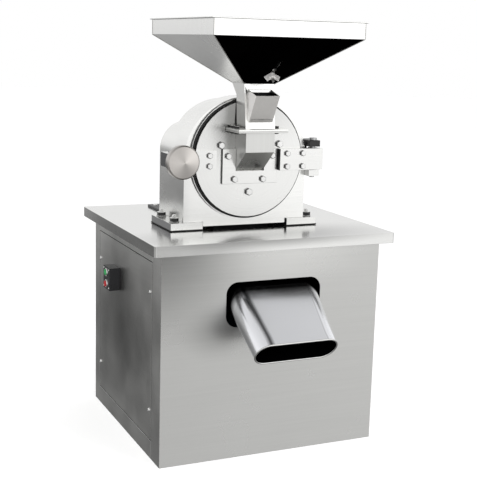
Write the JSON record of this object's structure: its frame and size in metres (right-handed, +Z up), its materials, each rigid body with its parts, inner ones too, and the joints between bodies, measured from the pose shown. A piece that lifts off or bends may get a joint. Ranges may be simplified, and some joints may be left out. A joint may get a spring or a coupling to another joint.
{
  "type": "hammer mill",
  "caption": "Stainless grinding mill on a motor cabinet: hopper-fed hinged door, hammer rotor, screen, and a flat oval spout out of the front.",
  "frame": {"origin": "on the floor under the centre of the cabinet's body", "axes": "+Z up, the door, hopper and spout face -Y, +X to the right seen from the front"},
  "size_m": [0.662, 0.7336, 1.0903],
  "materials": {
    "brushed_stainless": "brushed",
    "polished_stainless": "polished",
    "machined_steel": "turned",
    "cast_iron": "matt",
    "motor_paint": "satin",
    "bearing_steel": "ground",
    "black_rubber": "matt",
    "black_plastic": "satin",
    "green_plastic": "gloss",
    "red_plastic": "gloss"
  },
  "bodies": {
    "root": {"base_tray": "brushed_stainless", "cabinet_frame": "brushed_stainless", "front_panel": "brushed_stainless", "left_side_panel": "brushed_stainless", "right_side_panel": "brushed_stainless", "rear_panel": "brushed_stainless", "discharge_duct": "brushed_stainless", "mill_bed_plate": "brushed_stainless", "screen_ring": "brushed_stainless", "belt_guard": "brushed_stainless", "table_top": "polished_stainless", "discharge_spout": "polished_stainless", "left_foot_bar": "polished_stainless", "right_foot_bar": "polished_stainless", "mill_housing": "polished_stainless", "hinge_bracket": "polished_stainless", "clamp_lug": "polished_stainless", "motor_bed": "machined_steel", "hinge_pin": "machined_steel", "bearing_pedestal": "cast_iron", "motor_body": "motor_paint", "motor_fan_cover": "motor_paint", "motor_terminal_box": "motor_paint", "front_bearing": "bearing_steel", "rear_bearing": "bearing_steel", "drive_belt_1": "black_rubber", "drive_belt_2": "black_rubber", "switch_box": "black_plastic", "cable_gland": "black_plastic"},
    "door": {"door_disc": "polished_stainless", "door_seal": "black_rubber", "stator_disc": "machined_steel", "hinge_strap": "polished_stainless", "clamp_strap": "polished_stainless", "inlet_plate": "polished_stainless", "inlet_box": "brushed_stainless", "hopper_neck": "brushed_stainless", "hopper": "polished_stainless"},
    "feed_gate": {"feed_gate": "brushed_stainless"},
    "gate_wing_nut": {"gate_wing_nut": "polished_stainless"},
    "clamp_collar": {"clamp_collar": "machined_steel"},
    "clamp_knob": {"clamp_knob": "polished_stainless", "clamp_screw": "machined_steel"},
    "rotor": {"rotor_shaft": "machined_steel", "rotor_front_plate": "machined_steel", "rotor_rear_plate": "machined_steel", "rotor_nut": "machined_steel", "mill_pulley": "cast_iron", "hammer_pin_1": "bearing_steel", "hammer_pin_2": "bearing_steel", "hammer_pin_3": "bearing_steel", "hammer_pin_4": "bearing_steel"},
    "motor_rotor": {"motor_shaft": "machined_steel", "motor_pulley": "cast_iron"},
    "start_button": {"start_button": "green_plastic"},
    "stop_button": {"stop_button": "red_plastic"},
    "hammer_1": {"hammer_1": "machined_steel"},
    "hammer_2": {"hammer_2": "machined_steel"},
    "hammer_3": {"hammer_3": "machined_steel"},
    "hammer_4": {"hammer_4": "machined_steel"}
  },
  "joints": [
    {"name": "door_hinge", "type": "hinge", "parent": "root", "child": "door", "pos_m": [0.165, -0.142, 0.745], "axis": [0, 0, 1], "range_deg": [0, 110]},
    {"name": "knob_travel", "type": "slide", "parent": "door", "child": "clamp_collar", "axis": [0, -1, 0], "range_m": [0, 0.0151]},
    {"name": "knob_turn", "type": "hinge", "parent": "clamp_collar", "child": "clamp_knob", "pos_m": [-0.217, -0.19, 0.745], "axis": [0, -1, 0], "range_deg": [0, 1800]},
    {"name": "feed_gate_slide", "type": "slide", "parent": "door", "child": "feed_gate", "axis": [0, -0.8297, 0.5582], "range_m": [0, 0.052]},
    {"name": "wing_nut_turn", "type": "hinge", "parent": "feed_gate", "child": "gate_wing_nut", "pos_m": [-0.007, -0.23434, 0.96172], "axis": [0, -0.5582, -0.8297], "range_deg": [0, 720]},
    {"name": "rotor_spin", "type": "hinge", "parent": "root", "child": "rotor", "pos_m": [-0.021, 0, 0.745], "axis": [0, 1, 0], "continuous": true},
    {"name": "motor_spin", "type": "hinge", "parent": "root", "child": "motor_rotor", "pos_m": [-0.021, 0.15, 0.1786], "axis": [0, 1, 0], "continuous": true},
    {"name": "hammer_1_swing", "type": "hinge", "parent": "rotor", "child": "hammer_1", "pos_m": [0.03415, -0.043, 0.80015], "axis": [0, 1, 0], "range_deg": [-120, 120]},
    {"name": "hammer_2_swing", "type": "hinge", "parent": "rotor", "child": "hammer_2", "pos_m": [-0.07615, -0.043, 0.80015], "axis": [0, 1, 0], "range_deg": [-120, 120]},
    {"name": "hammer_3_swing", "type": "hinge", "parent": "rotor", "child": "hammer_3", "pos_m": [-0.07615, -0.043, 0.68985], "axis": [0, 1, 0], "range_deg": [-120, 120]},
    {"name": "hammer_4_swing", "type": "hinge", "parent": "rotor", "child": "hammer_4", "pos_m": [0.03415, -0.043, 0.68985], "axis": [0, 1, 0], "range_deg": [-120, 120]},
    {"name": "start_press", "type": "slide", "parent": "root", "child": "start_button", "axis": [1, 0, 0], "range_m": [0, 0.004], "stiffness_N_per_m": 400},
    {"name": "stop_press", "type": "slide", "parent": "root", "child": "stop_button", "axis": [1, 0, 0], "range_m": [0, 0.004], "stiffness_N_per_m": 400}
  ],
  "couplings": [
    {"joint": "knob_travel", "follows": "knob_turn", "m_per_rad": 0.00047746},
    {"joint": "motor_spin", "follows": "rotor_spin", "ratio": 0.76389}
  ]
}
